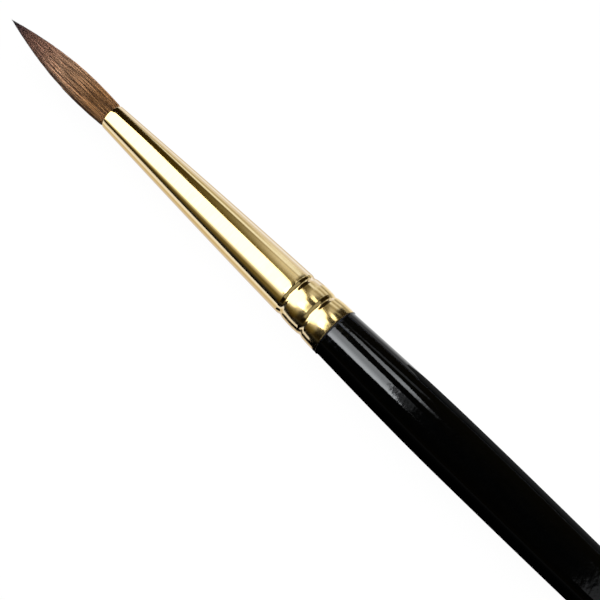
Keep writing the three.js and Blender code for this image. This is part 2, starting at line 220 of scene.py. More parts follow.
# %% [markdown]
# ## The lacquer coat
#
# The handle is dipped in lacquer and hung to dry. The coat swells in a small bead where it meets
# the rim, flows over the long swell and taper, and closes round the butt. The bead is shorter here
# than on the solids, since fine stations can follow a ridge that is over in a sixth of a millimetre.
# Wet lacquer never dries dead level: shallow waves run along it, too low to see as shape, but they
# bend the reflections. They are put into the mesh, and the finer orange peel into the material.

# %% The lacquer's outline
COAT = 0.12 * MM
RIM_GAP = 0.03 * MM
HANDLE_RIM_RADIUS = 3.11 * MM
SWELL_RADIUS = 3.54 * MM
SWELL_FROM_RIM = 19 * MM
BUTT_RADIUS = 1.72 * MM
BUTT_DOME = 1.5 * MM
BUTT_FLAT_RADIUS = 0.8 * MM
TAPER_EASE = 1.2
BEAD_HEIGHT = 0.12 * MM
BEAD_LENGTH = 0.16 * MM
DOME_STATIONS = 16


def handle_radius(from_rim):
    """A quarter sine out to the swell, then SWELL..BUTT by s^2 (1 + ease (1 - s)) of the way."""
    out = np.sin(np.pi / 2 * np.clip(from_rim / SWELL_FROM_RIM, 0, 1))
    rising = HANDLE_RIM_RADIUS + (SWELL_RADIUS - HANDLE_RIM_RADIUS) * out
    share = np.clip((from_rim - SWELL_FROM_RIM) / (HANDLE_LENGTH - BUTT_DOME - SWELL_FROM_RIM), 0, 1)
    falling = (SWELL_RADIUS - BUTT_RADIUS) * share**2 * (1 + TAPER_EASE * (1 - share))
    return rising - falling


def bead(from_rim):
    """The ridge behind the rim: a half sine of the square root, so that its front is steep."""
    share = np.clip((from_rim - RIM_GAP) / BEAD_LENGTH, 0, 1)
    return BEAD_HEIGHT * np.sin(np.pi * np.sqrt(share))


def handle_outline(inset, stations):
    """(x, radius) at the stations, then round the butt's dome as a quarter ellipse, to its flat."""
    dome_start = HANDLE_LENGTH - BUTT_DOME - inset
    barrel = stations[stations < dome_start]
    turn = np.linspace(0, np.pi / 2, DOME_STATIONS)
    widest = handle_radius(np.array([dome_start]))[0] - inset
    dome = dome_start + BUTT_DOME * np.sin(turn)
    dome_radius = BUTT_FLAT_RADIUS + (widest - BUTT_FLAT_RADIUS) * np.cos(turn)
    x = RIM_X + np.concatenate([barrel, dome, dome[-1:]])
    return x, np.concatenate([handle_radius(barrel) - inset, dome_radius, [0]])


# %% The lacquer's waves
WAVE_HEIGHT = 0.004 * MM
COAT_WAVES = [(0.6, 4.1, 2, 0), (0.4, 2.3, -3, 1)]  # share, mm a radian along, count round, phase
RIM_CALM = 2 * MM
BUTT_CALM = 3 * MM


def lacquer_wave(x, angle):
    """The sum of slanting sine waves, which fade in behind the rim and out before the butt."""
    from_rim = x - RIM_X
    waves = [
        share * np.sin(from_rim / (length * MM) + count * angle + phase)
        for share, length, count, phase in COAT_WAVES
    ]
    fade_in = np.clip(from_rim / RIM_CALM, 0, 1)
    fade_out = np.clip((HANDLE_LENGTH - from_rim) / BUTT_CALM - 1, 0, 1)
    return WAVE_HEIGHT * sum(waves) * fade_in * fade_out


# %% Build the coat
BEAD_STATIONS = 14
BARREL_STATIONS = 280
BARREL_CLOSENESS = 1.5
INSIDE_EVERY = 8
LACQUER_AROUND = 128


def lacquer_profile():
    """The inside of the coat from the butt's middle to the rim, then the outside back again.

    Stations stand closest at the bead's front and draw apart towards the butt, as powers of their
    number. The inside, which nobody sees, has only some of them."""
    close = RIM_GAP + BEAD_LENGTH * np.linspace(0, 1, BEAD_STATIONS) ** 2
    behind = close[-1] + HANDLE_LENGTH * np.linspace(0, 1, BARREL_STATIONS)[1:] ** BARREL_CLOSENESS
    stations = np.concatenate([close, behind])
    inner_x, inner_radius = handle_outline(COAT, stations[::INSIDE_EVERY])
    outer_x, outer_radius = handle_outline(0, stations)
    outer_radius[: len(close)] += bead(close)
    x = np.concatenate([inner_x[::-1], outer_x])
    return x, np.concatenate([inner_radius[::-1], outer_radius])


coat = revolved(*lacquer_profile(), LACQUER_AROUND, closed=False, wave=lacquer_wave)
lacquer_coat = add_mesh("lacquer_coat", *coat)
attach(lacquer_coat, "root")
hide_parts("handle_lacquer")

# %% [markdown]
# ## The hair
#
# A tuft like this is over a thousand hairs, glued at the root and shaped by hand so that it swells
# past the ferrule and gathers to a point. Each hair here is a four-sided blade that runs to a point.
# Blender's own hair curves would be the quick way, but they render as ribbons and leave no solid
# mesh, so the hairs are worked out as one array: hairs by stations by corners.
#
# The hairs spread over the section as the seeds of a sunflower do, each a golden angle on from the
# last, which packs them evenly and lines none up. Past the belly they draw closer together and, one
# ring after another, come to the outside and end, so the tuft tapers without any two crossing.

# %% How the tuft swells and gathers
BELLY_RADIUS = 1.79 * MM
BELLY_OUT = 4.7 * MM
FLARE_RADIUS = 1.64 * MM
FLARE_OUT = 0.5 * MM
ROOT_FIT = 0.02 * MM
ROOT_RADIUS = MOUTH_RADIUS - WALL - ROOT_FIT
ROOT_RECESS = 0.4 * MM
ROOT_LENGTH = 11.5 * MM
POINT_FINENESS = 1.02
GATHER = 0.4
UNEVEN_ENDS = 0.3 * MM
HAIRS = 1500


def tuft_radius(out):
    """Root to flare, flare to belly as a quarter sine, then belly (1 - s^2)^fineness to the point."""
    over_lip = np.clip(out / FLARE_OUT, 0, 1)
    lip = over_lip**2 * (3 - 2 * over_lip)
    to_belly = np.sin(np.pi / 2 * np.clip((out - FLARE_OUT) / (BELLY_OUT - FLARE_OUT), 0, 1))
    to_point = np.clip((out - BELLY_OUT) / (HAIR_OUT - BELLY_OUT), 0, 1)
    flared = ROOT_RADIUS + (FLARE_RADIUS - ROOT_RADIUS) * lip
    swollen = flared + (BELLY_RADIUS - FLARE_RADIUS) * to_belly
    return swollen * (1 - to_point**2) ** POINT_FINENESS


def packing_radius(out):
    """Where the outermost hair would be: past the belly, only part of the tuft's narrowing."""
    narrowing = tuft_radius(out) / BELLY_RADIUS
    return np.where(out < BELLY_OUT, tuft_radius(out), BELLY_RADIUS * narrowing ** (1 - GATHER))


def hair_end(share):
    """How far out a hair at that share of the radius comes to the outside, and so ends."""
    to_point = np.sqrt(1 - share ** (1 / (GATHER * POINT_FINENESS)))
    return BELLY_OUT + (HAIR_OUT - BELLY_OUT) * to_point


# %% Where each hair stands, and the layers
RADIUS_IN_RINGS = 10.5  # the solids have ten rings of strands round a middle one
LAYERS = {  # a layer's name: the CAD node, and its outer edge as a share of the radius
    "core_hairs": ("hair_core", 4.5 / RADIUS_IN_RINGS),
    "inner_hairs": ("hair_inner", 6.5 / RADIUS_IN_RINGS),
    "middle_hairs": ("hair_middle", 8.5 / RADIUS_IN_RINGS),
    "belly_hairs": ("hair_belly", 1.0),
}
GOLDEN_ANGLE = np.pi * (3 - math.sqrt(5))
OUTERMOST = 0.985
THINNEST = 0.9
THICKER_BY = 0.25
rng = np.random.default_rng(11)
number = np.arange(HAIRS)
share = np.sqrt((number + 0.5) / HAIRS) * OUTERMOST
angle = number * GOLDEN_ANGLE
short = UNEVEN_ENDS * rng.random(HAIRS)
tint = rng.random(HAIRS)
thick = THINNEST + THICKER_BY * rng.random(HAIRS)
pitch_share = math.sqrt(math.pi / HAIRS)
print(f"hair pitch at the belly {pitch_share * BELLY_RADIUS / MM:.3f} mm")

# %% [markdown]
# ### Ridges, locks, painted highlights and painted shade
#
# Hair that was wetted and shaped dries in locks. Some stand proud, and some look paler than their
# neighbours. Waves round the tuft whose counts share no rhythm give both, low ridges in the surface and
# light and dark locks in the colour. Painted light and shade is then placed one by one at fixed angles
# round the tuft: painted highlights as pale locks on the top and the near flank, painted shade along the
# near underside and on the far flank by the ferrule, and the painted shade of a dark furrow that runs
# out from the ferrule, with no groove in the mesh.

# %% The ridges' and locks' sizes
RIDGES = [(7, 0.9, 0.05), (13, 2.1, -0.07), (19, 4.4, 0.06), (29, 0.3, -0.04)]
RIDGE_HEIGHT = 0.045
GRIP_REACH = 1.5 * MM
LOCK_WAVES = [
    (13, 0.4, 0.6), (19, 2.6, 0.9), (23, 5.1, 0.7), (29, 1.2, 1.3), (37, 3.3, 1.7), (47, 0.7, 1.5),
]
LOCK_CONTRAST = 1.2
# Painted light and shade, each at a fixed angle round the tuft: the pale entries are painted highlights,
# the dark ones painted shade.
PAINTED_LIGHT_LOCKS = [  # middle and half width as angles, middle and half length in mm, how much paler
    # painted shade along the near underside
    (-1.62, 0.35, 5.0, 6.0, -0.3),
    # painted highlights on the near flank and the top
    (-0.88, 0.1, 6.0, 4.5, 0.32),
    (-0.34, 0.1, 9.5, 3.5, 0.24),
    (0.0, 0.09, 5.0, 2.5, 0.3),
    # painted shade on the far flank by the ferrule
    (0.75, 0.3, 1.5, 3.0, -0.12),
]
# The furrow is painted shade: a dark line in the colour only, with no groove in the mesh.
FURROW_TURN = 0.2
FURROW_WIDTH = 0.13
FURROW_PAINTED_SHADE = 0.45
FURROW_STRAIGHT, FURROW_END, FURROW_FADE = 2.5, 7.2, 6.0  # in mm out of the ferrule
print(f"{len(LOCK_WAVES)} lock waves, {len(PAINTED_LIGHT_LOCKS)} single locks and a furrow")


# %% Ridges and locks
def ridges(angle, out):
    """Ridges as shares of the radius, the mean of cosine waves, which the ferrule presses flat.

    Each wave is (count round, phase, turn a millimetre)."""
    waves = [np.cos(count * angle + phase + turn * out / MM) for count, phase, turn in RIDGES]
    return RIDGE_HEIGHT * np.clip(out / GRIP_REACH, 0, 1) * np.mean(waves, axis=0)


def bell(angle, middle, width):
    """exp(-(d / width)^2), where d is the angle from the middle by the shorter way round."""
    aside = (angle - middle + np.pi) % (2 * np.pi) - np.pi
    return np.exp(-((aside / width) ** 2))


def lock_tone_and_painted_light(angle, out):
    """Light and dark locks: waves round the tuft times waves along it, so that locks start and end.

    Each wave is (count round, phase, turn a millimetre). To these come the single locks, which are
    painted highlights and painted shade, each a bell curve both ways, less the furrow's painted shade,
    which leans near the ferrule and fades as it runs out."""
    along = out / MM
    waves = [
        np.cos(count * angle + phase) * np.cos(turn * along + 3 * phase)
        for count, phase, turn in LOCK_WAVES
    ]
    shade = 0.5 + LOCK_CONTRAST * np.mean(waves, axis=0)
    for middle, width, place, length, paler in PAINTED_LIGHT_LOCKS:
        shade += paler * bell(angle, middle, width) * np.exp(-(((along - place) / length) ** 2))
    # The furrow's painted shade.
    furrow_middle = FURROW_TURN * np.clip(1 - along / FURROW_STRAIGHT, 0, 1)
    left = np.clip((FURROW_END - along) / FURROW_FADE, 0, 1)
    return shade - FURROW_PAINTED_SHADE * bell(angle, furrow_middle, FURROW_WIDTH) * left


# %% [markdown]
# ### One hair as a blade
#
# A hair starts inside the ferrule, follows the tuft's swell, and thins over its last few stations to
# a single point. Four sides are enough, because a hair is thinner than a pixel is wide. All the
# hairs of a layer are worked out at once, from the same few lines, as whole arrays.

# %% Where the hairs run
TO_BELLY = np.array([-0.7, 0.0, 0.25, 0.55, 2.6, 4.7]) * MM  # stations from inside the ferrule
PAST_BELLY = np.array([0.25, 0.5, 0.72, 0.9])  # and as shares of the way from the belly to the end
SWAY = 0.02
SWAY_LENGTH = 2.3 * MM
SWAY_SPREAD = 40


def hair_stations(share, short):
    """How far out each hair's sections are: the same up to the belly, then by where it ends."""
    end = (hair_end(share) - short)[:, None]
    fixed = np.repeat(TO_BELLY[None, :], len(share), axis=0)
    return np.concatenate([fixed, BELLY_OUT + (end - BELLY_OUT) * PAST_BELLY, end], axis=1)


def hair_paths(share, angle, tint, stations):
    """Each section's middle, and its directions outwards and across, as (hair, section, xyz).

    The middle is the axis plus share * packing radius outwards, moved by the ridges. The angle
    sways by a sine of the distance out, with a phase of each hair's own."""
    around = angle[:, None] + SWAY * np.sin(stations / SWAY_LENGTH + SWAY_SPREAD * tint[:, None])
    reach = share[:, None] * packing_radius(stations) * (1 + ridges(around, stations))
    zero = np.zeros_like(around)
    outward = np.stack([zero, np.sin(around), np.cos(around)], axis=-1)
    across = np.stack([zero, np.cos(around), -np.sin(around)], axis=-1)
    axis = np.stack([MOUTH_X - stations, zero, zero + AXIS_Z], axis=-1)
    return axis + reach[..., None] * outward, outward, across


# %% Blades round those paths
BLADE_SIDES = 4
LAST_WIDTHS = [0.95, 0.85, 0.6, 0]
HALF_WIDTH, HALF_DEPTH = 0.5, 0.42  # in pitches
LEAST_RADIUS = 0.3 * MM  # the pitch is no finer than where the tuft is this thin


def blade_corners(middle, outward, across, thick, stations):
    """Four corners round each section, half a width aside and half a depth in and out; one point."""
    pitch = pitch_share * np.maximum(packing_radius(stations), LEAST_RADIUS) * thick[:, None]
    taper = np.ones(stations.shape[1])
    taper[-len(LAST_WIDTHS) :] = LAST_WIDTHS
    aside = HALF_WIDTH * (pitch * taper)[..., None] * across
    inout = HALF_DEPTH * (pitch * taper)[..., None] * outward
    around = np.stack([aside, inout, -aside, -inout], axis=2)
    sections = middle[:, :-1, None] + around[:, :-1]
    return np.concatenate([sections.reshape(len(thick), -1, 3), middle[:, -1:]], axis=1)


def blade_faces(hairs, sections):
    """The quads of the sides, the triangles round each point, and a quad that closes each root."""
    per_hair = sections * BLADE_SIDES + 1
    side = np.arange(BLADE_SIDES)
    last = (sections - 1) * BLADE_SIDES
    point = np.full(BLADE_SIDES, per_hair - 1)
    fan = np.stack([last + side, last + (side + 1) % BLADE_SIDES, point], axis=-1)
    first = (np.arange(hairs) * per_hair)[:, None, None]
    groups = [ring_faces(sections, BLADE_SIDES, False), fan, side[None, ::-1]]
    return [(group[None] + first).reshape(-1, group.shape[1]) for group in groups]


def per_corner(values):
    """Values (hair, section) repeated for each section's corners, with one for the point."""
    repeated = np.repeat(values[:, :-1], BLADE_SIDES, axis=1)
    return np.concatenate([repeated, values[:, -1:]], axis=1).ravel()


def hair_blades(share, angle, short, tint, thick):
    """Corners and faces of the hairs, and what is stored at each corner for the colour."""
    stations = hair_stations(share, short)
    corners = blade_corners(*hair_paths(share, angle, tint, stations), thick, stations)
    stored = {
        "out": per_corner(stations / HAIR_OUT),
        "lock": per_corner(lock_tone_and_painted_light(angle[:, None], stations)),
        "tint": np.repeat(tint, corners.shape[1]),
    }
    return corners.reshape(-1, 3), blade_faces(len(share), stations.shape[1] - 1), stored


# %% [markdown]
# ### Four layers, each on its slice of glue
#
# Hair and glue are one solid at the root, so each layer's piece is its hairs and the ring of set
# glue that they grow from. Four pieces instead of 1,500 keep the list of parts short, and match the
# four nodes of the engineering model.

# %% Build the four layers
ROOT_AROUND = 48
ROOT_STORED = {"out": -0.1, "lock": 0.5, "tint": 0.5}


def root_slice(inner, outer):
    """The ring of glue between two shares of the root's radius, or a disc where the inner is 0."""
    face, back = MOUTH_X + ROOT_RECESS, MOUTH_X + ROOT_RECESS + ROOT_LENGTH
    radius = ROOT_RADIUS * np.array([inner, outer, outer, inner])
    return revolved(np.array([face, face, back, back]), radius, ROOT_AROUND, closed=inner > 0)


inner_edge = 0.0
hair_pieces = []
for name, (node, outer_edge) in LAYERS.items():
    chosen = (share >= inner_edge) & (share < outer_edge)
    own = [values[chosen] for values in (share, angle, short, tint, thick)]
    corners, faces, stored = hair_blades(*own)
    glue_corners, glue_faces = root_slice(inner_edge, outer_edge)
    faces += [group + len(corners) for group in glue_faces]
    piece = add_mesh(name, np.concatenate([corners, glue_corners]), faces)
    for key, values in stored.items():
        at_root = np.full(len(glue_corners), ROOT_STORED[key])
        attribute = piece.data.attributes.new(key, "FLOAT", "POINT")
        attribute.data.foreach_set("value", np.concatenate([values, at_root]).astype(np.float32))
    print(f"{name}: {chosen.sum()} hairs")
    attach(piece, "root")
    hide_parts(node)
    hair_pieces.append(piece)
    inner_edge = outer_edge

# %% [markdown]
# ## Materials
#
# Every finish is a Principled shader whose colour comes from a small pattern. An image would fix
# the detail to one resolution, while noise in Object coordinates stays sharp from any distance and
# needs no unwrapping. A few helpers keep the node code short: they add a node with its inputs, read
# a coordinate, scale noise, turn a number into a colour, and hand a material to a piece.

# %% Node helpers
def set_inputs(node, inputs):
    """Gives each named input a value, or joins another node's output to it."""
    for key, value in inputs.items():
        if isinstance(value, bpy.types.NodeSocket):
            node.id_data.links.new(value, node.inputs[key])
        else:
            node.inputs[key].default_value = value


def add_node(tree, kind, inputs=None, **settings):
    """Adds a node, first with its settings and then with its inputs."""
    node = tree.nodes.new(kind)
    for key, value in settings.items():
        setattr(node, key, value)
    set_inputs(node, inputs or {})
    return node


def combined(tree, operation, first, second, **settings):
    """Two numbers joined by one of the Math node's operations."""
    inputs = {0: first, 1: second}
    return add_node(tree, "ShaderNodeMath", inputs, operation=operation, **settings).outputs[0]


def object_place(tree):
    return add_node(tree, "ShaderNodeTexCoord").outputs["Object"]


def object_axis(tree, axis):
    """One of the Object coordinates, in metres."""
    return add_node(tree, "ShaderNodeSeparateXYZ", {0: object_place(tree)}).outputs[axis]


def beside_brush(tree):
    """How far a place lies to either side of the line under the brush, in metres."""
    inputs = {0: object_axis(tree, "Y")}
    return add_node(tree, "ShaderNodeMath", inputs, operation="ABSOLUTE").outputs[0]


def ramp(tree, value, stops, start=0.0, end=1.0):
    """A colour for each value from start to end, blended between stops of (value, colour)."""
    if (start, end) != (0.0, 1.0):
        scaled = {"Value": value, "From Min": start, "From Max": end}
        value = add_node(tree, "ShaderNodeMapRange", scaled).outputs[0]
    node = add_node(tree, "ShaderNodeValToRGB", {"Fac": value})
    points = node.color_ramp.elements
    while len(points) < len(stops):
        points.new(0.5)
    for point, (place, colour) in zip(points, stops):
        point.position = (place - start) / (end - start)
        point.color = (*colour, 1)
    return node.outputs[0]


# %% Finish helpers
BUMP_DEPTH = 0.1 * MM


def new_material(name):
    """A material with its node tree and its Principled shader."""
    material = bpy.data.materials.new(name)
    material.use_nodes = True
    return material, material.node_tree, material.node_tree.nodes["Principled BSDF"]


def noise(tree, scale, detail=2.0):
    """Noise over Object coordinates, so many patterns a metre along each axis."""
    scaled = add_node(tree, "ShaderNodeMapping", {"Vector": object_place(tree), "Scale": scale})
    inputs = {"Vector": scaled.outputs[0], "Scale": 1.0, "Detail": detail}
    return add_node(tree, "ShaderNodeTexNoise", inputs).outputs[0]


def two_tone(tree, pattern, dark, light):
    """Dark to light over the middle of a pattern's range, where noise spends most of its time."""
    return ramp(tree, pattern, [(0.3, dark), (0.7, light)])


def relief(tree, height, strength):
    """A bumped normal for a pattern of heights."""
    inputs = {"Height": height, "Strength": strength, "Distance": BUMP_DEPTH}
    return add_node(tree, "ShaderNodeBump", inputs).outputs[0]


def paint(piece, material):
    piece.data.materials.clear()
    piece.data.materials.append(material)
    print(f"{piece.name} is painted with {material.name}, of {len(material.node_tree.nodes)} nodes")


# %% [markdown]
# ### Polished gold
#
# The ferrule is brass with a gold-coloured finish, polished while it spins. A metal has no colour
# of its own but that of its reflections, so almost all of its look comes from the studio. The
# material gives only the tint, a little blur, and polishing lines too fine to see one by one: noise
# drawn out round the tube, which changes quickly along X and slowly across it. The crimping rolls
# dulled the bands, so the blur grows over the first groove from the cone's to the bands'.

# %% Gold
POLISHED, ROLLED = 0.08, 0.15
POLISHING_LINES = (9000, 500, 500)
gold, tree, shader = new_material("polished_gold")
polish = noise(tree, POLISHING_LINES)
rolled = {
    "Value": object_axis(tree, "X"),
    "From Min": MOUTH_X + groove_edges[0][0],
    "From Max": MOUTH_X + groove_edges[0][1],
    "To Min": POLISHED,
    "To Max": ROLLED,
}
set_inputs(shader, {
    "Base Color": two_tone(tree, polish, (0.75, 0.545, 0.215), (0.79, 0.585, 0.245)),
    "Metallic": 1.0,
    "Roughness": add_node(tree, "ShaderNodeMapRange", rolled).outputs[0],
    "Normal": relief(tree, polish, strength=0.002),
})
paint(gold_ferrule, gold)

# %% [markdown]
# ### Black lacquer
#
# Several thin dips give a black so deep that only its reflections show. The base colour is close to
# zero, the gloss is high, and a faint bump stands for the orange peel left by drying.

# %% Lacquer
ORANGE_PEEL = (1500, 1500, 1500)
lacquer, tree, shader = new_material("black_lacquer")
peel = noise(tree, ORANGE_PEEL, detail=3.0)
set_inputs(shader, {
    "Base Color": two_tone(tree, peel, (0.0004, 0.0005, 0.0005), (0.0008, 0.0009, 0.0009)),
    "Roughness": 0.05,
    "Normal": relief(tree, peel, strength=0.05),
})
paint(lacquer_coat, lacquer)

# %% [markdown]
# ### Natural hair
#
# The hair is golden brown at the ferrule, a cooler brown along the belly, and nearly black where the
# hairs gather at the point. Three numbers were stored on the mesh for this: how far out a corner is, how
# pale the locks are there, with the painted highlights and painted shade added in, and a tint for each
# hair. Colour from attributes follows the hairs as they converge, which noise in space would not do.

# %% Hair
hair, tree, shader = new_material("natural_hair")


def stored_number(name):
    return add_node(tree, "ShaderNodeAttribute", attribute_name=name).outputs["Fac"]


def multiplied(first, second):
    """Two colours multiplied, each in full."""
    inputs = {0: 1.0, 6: first, 7: second}
    mixed = add_node(tree, "ShaderNodeMix", inputs, data_type="RGBA", blend_type="MULTIPLY")
    return mixed.outputs[2]


along_hair = ramp(tree, stored_number("out"), [
    (0.0, (0.31, 0.158, 0.062)),
    (0.15, (0.305, 0.152, 0.058)),
    (0.29, (0.375, 0.208, 0.105)),
    (0.47, (0.40, 0.24, 0.145)),
    (0.645, (0.37, 0.2, 0.134)),
    (0.787, (0.28, 0.152, 0.112)),
    (0.89, (0.18, 0.105, 0.098)),
    (0.95, (0.035, 0.024, 0.024)),
    (1.0, (0.005, 0.004, 0.005)),
])
# Light and dark locks, together with the painted highlights and painted shade stored with them.
locks = ramp(tree, stored_number("lock"), [(0.1, (0.25, 0.22, 0.2)), (0.9, (1.75, 1.75, 1.75))])
own_tint = ramp(tree, stored_number("tint"), [(0.0, (0.55, 0.54, 0.52)), (1.0, (1.45, 1.45, 1.48))])
set_inputs(shader, {
    "Base Color": multiplied(multiplied(along_hair, locks), own_tint),
    "Roughness": 0.45,
    "Specular IOR Level": 0.1,
})
for piece in hair_pieces:
    paint(piece, hair)

# %% [markdown]
# ### What is hidden inside
#
# The wood, the two glues and the thread keep the model's own solids, because they are plain turned
# or wound shapes that the drawing already gives in full. They still get a finish each, for whoever
# takes the brush apart: grain along X in the beech, and a faint cloudiness in the rest.

# %% Wood, glue, epoxy and thread
GRAIN = (300, 4500, 4500)
inner_finishes = {  # the model's node: the finish's name, its dark and light colour, its roughness
    "handle_wood": ("beech", (0.42, 0.24, 0.10), (0.60, 0.38, 0.18), 0.6),
    "tenon_glue": ("set_glue", (0.75, 0.62, 0.38), (0.85, 0.74, 0.50), 0.35),
    "root_epoxy": ("amber_epoxy", (0.50, 0.27, 0.06), (0.62, 0.36, 0.10), 0.2),
    "root_thread": ("linen_thread", (0.70, 0.66, 0.55), (0.86, 0.82, 0.72), 0.85),
}
for node, (name, dark, light, roughness) in inner_finishes.items():
    material, tree, shader = new_material(name)
    grain = noise(tree, GRAIN, detail=4.0)
    set_inputs(shader, {"Base Color": two_tone(tree, grain, dark, light), "Roughness": roughness})
    paint(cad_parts[node], material)

# %% [markdown]
# ## The floor
#
# The brush lies on a white sweep. White paper lit hard enough to look white would throw so much light
# back that the brush lost its dark side. So the paper here is nearly black to the lamps, which still
# lets it show a faint shadow, and its white is a glow of its own, only for rays that come from the
# camera or were mirrored. What the brush mirrors of it is a painted reflection that changes with the
# distance from the brush: a painted shadow, grey and warm, close by, and painted light, a cool white
# brighter than the paper, from a centimetre on.

# %% Floor
FLOOR_REACH = 3.0
FLOOR_Z = -0.03 * MM
PAPER = 0.03
PAPER_GLOW = 0.975
PAPER_CHANGES = 40
# The paper's painted reflection: painted shadow close to the brush, and painted light brighter than
# white from about a centimetre out.
PAPER_PAINTED_REFLECTION = [  # millimetres from the line under the brush, and the colour mirrored there
    (0, (0.78, 0.79, 0.95)),
    (5, (0.80, 0.77, 0.78)),
    (6.8, (0.70, 0.64, 0.58)),
    (8.2, (0.88, 0.88, 0.95)),
    (10, (1.1, 1.2, 1.8)),
    (14, (1.12, 1.32, 2.2)),
    (19, (0.92, 1.0, 1.5)),
    (PAPER_CHANGES, (0.88, 0.92, 1.25)),
]


def in_metres(stops):
    """Stops whose places are given in millimetres, with their places in metres."""
    return [(place * MM, colour) for place, colour in stops]


def add_stage(name, corners, material):
    """A flat stage piece with one face through its corners."""
    mesh = bpy.data.meshes.new(name)
    mesh.from_pydata(corners, [], [tuple(range(len(corners)))])
    sheet = bpy.data.objects.new(name, mesh)
    bpy.context.scene.collection.objects.link(sheet)
    sheet.data.materials.append(material)
    print(f"{name}: {sum(face.area for face in mesh.polygons):.4f} m2")
    return sheet


def seen_or_mirrored(tree):
    """1 for camera, glossy and transmission rays, 0 for the light that falls on things."""
    path = add_node(tree, "ShaderNodeLightPath").outputs
    mirrored = combined(tree, "ADD", path["Is Glossy Ray"], path["Is Transmission Ray"], use_clamp=True)
    return combined(tree, "ADD", path["Is Camera Ray"], mirrored, use_clamp=True)


paper, tree, shader = new_material("white_paper")
# The painted reflection, shown only to mirrored rays.
painted_paper_reflection = ramp(tree, beside_brush(tree), in_metres(PAPER_PAINTED_REFLECTION), 0.0, PAPER_CHANGES * MM)
by_camera = add_node(tree, "ShaderNodeLightPath").outputs["Is Camera Ray"]
glow = {0: by_camera, 6: painted_paper_reflection, 7: (PAPER_GLOW, PAPER_GLOW, PAPER_GLOW, 1)}
set_inputs(shader, {
    "Base Color": (PAPER, PAPER, PAPER, 1),
    "Roughness": 1.0,
    "Specular IOR Level": 0.0,
    "Emission Color": add_node(tree, "ShaderNodeMix", glow, data_type="RGBA").outputs[2],
    "Emission Strength": seen_or_mirrored(tree),
})
floor_corners = [(-1, -1), (1, -1), (1, 1), (-1, 1)]
add_stage("floor", [(x * FLOOR_REACH, y * FLOOR_REACH, FLOOR_Z) for x, y in floor_corners], paper)

# %% [markdown]
# ## The studio
#
# A polished cone and a glossy rod are lit by their mirror images, so this studio is laid out by what
# each part of the brush mirrors. Its sheets shine for mirrored rays only, and hang in the plane of a
# ceiling 1 m up, so that a corner at (u, v) is seen from the brush's middle in the direction
# (u, v, 1). Only the key hangs higher. It shines only on what scatters light, the hair and the
# paper, as a large lamp would whose reflection was kept off the gold.
#
# Real lamps would light and be mirrored at once. To part the two, the sheets are meshes with an
# Emission shader, whose Ray Visibility says which rays may see them.

# %% Glowing sheets
CEILING = 1.0
NEUTRAL = (1.0, 1.0, 1.0)
COOL = (1.0, 1.04, 1.07)


def graded(tree, value, levels, start, end, colour=NEUTRAL):
    """A ramp whose stops are (value, light level), all of one colour."""
    stops = [(place, tuple(level * part for part in colour)) for place, level in levels]
    return ramp(tree, value, stops, start, end)


def glowing_sheet(name, corners, strength=1.0, mirrored=True):
    """A sheet that shines for mirrored or else for diffuse rays; returns its Emission shader.

    It casts no shadow, and the camera looks through it."""
    material = bpy.data.materials.new(name)
    material.use_nodes = True
    tree = material.node_tree
    tree.nodes.remove(tree.nodes["Principled BSDF"])
    shine = add_node(tree, "ShaderNodeEmission", {"Strength": strength})
    set_inputs(tree.nodes["Material Output"], {"Surface": shine.outputs[0]})
    sheet = add_stage(name, corners, material)
    sheet.visible_camera = False
    sheet.visible_shadow = False
    sheet.visible_glossy = mirrored
    sheet.visible_diffuse = not mirrored
    return shine


def ceiling_light(name, outline, colour, strength, height=CEILING, mirrored=True):
    """A level sheet, its outline in shares of its height; returns its Emission shader."""
    corners = [(u * height, v * height, height) for u, v in outline]
    shine = glowing_sheet(name, corners, strength, mirrored)
    set_inputs(shine, {"Color": (*colour, 1)})
    return shine


# %% [markdown]
# ### The main panel
#
# One large soft panel hangs overhead towards the point, and the ferrule's cone mirrors it as its
# broad pale band. Its edge on the far side of the brush is sharp. Towards the near side it fades
# along a slanting line, as a cloth panel does when its lamp sits at one end.

# %% Main panel
PANEL_NEAR = [
    (-0.326, -0.03), (-0.337, 0.0), (-0.352, 0.03), (-0.372, 0.11), (-0.404, 0.222), (-0.46, 0.292),
    (-0.503, 0.323), (-0.548, 0.388), (-0.589, 0.437), (-0.631, 0.518), (-0.6875, 0.637),
    (-0.74, 0.4), (-0.85, 0.22),
]
PANEL_FAR = [
    (-3.0, 0.2), (-3.0, -6.0), (-1.976, -6.0), (-1.449, -4.33), (-0.852, -2.42), (-0.622, -1.62),
    (-0.53, -1.15), (-0.475, -0.93), (-0.41, -0.62), (-0.385, -0.45), (-0.36, -0.2),
]
FADE_START, FADE_SLANT = -7.0, 0.95
PANEL_FADE = [  # v less FADE_SLANT of u, and the colour there
    (FADE_START, (0.025, 0.021, 0.008)),
    (-3.0, (0.04, 0.034, 0.015)),
    (-2.15, (0.05, 0.044, 0.026)),
    (-1.7, (0.085, 0.08, 0.06)),
    (-1.22, (0.17, 0.172, 0.18)),
    (-0.93, (0.27, 0.285, 0.36)),
    (-0.8, (0.4, 0.43, 0.56)),
    (-0.62, (1.0, 1.0, 1.06)),
]
panel = ceiling_light("main_panel", PANEL_NEAR + PANEL_FAR, NEUTRAL, strength=3.7)
tree = panel.id_data
slanted = {0: object_place(tree), 1: (-FADE_SLANT / CEILING, 1 / CEILING, 0.0)}
across = add_node(tree, "ShaderNodeVectorMath", slanted, operation="DOT_PRODUCT").outputs["Value"]
set_inputs(panel, {"Color": ramp(tree, across, PANEL_FADE, FADE_START, 0.0)})

# %% [markdown]
# ### The panel's end and the small lamps
#
# Black lacquer mirrors only a few hundredths of a light, so the panel's end, which it mirrors as the
# grey strip that runs out at the swell, is much brighter. A weak spill beside the end softens its
# edge on the bands, and a narrow lamp draws the thin second line along the lacquer. Two small sheets
# put faint marks on the far flank. A wide pale card is mirrored where the grooves and the rim face
# the butt. The end and the line lamp change in brightness along their length.

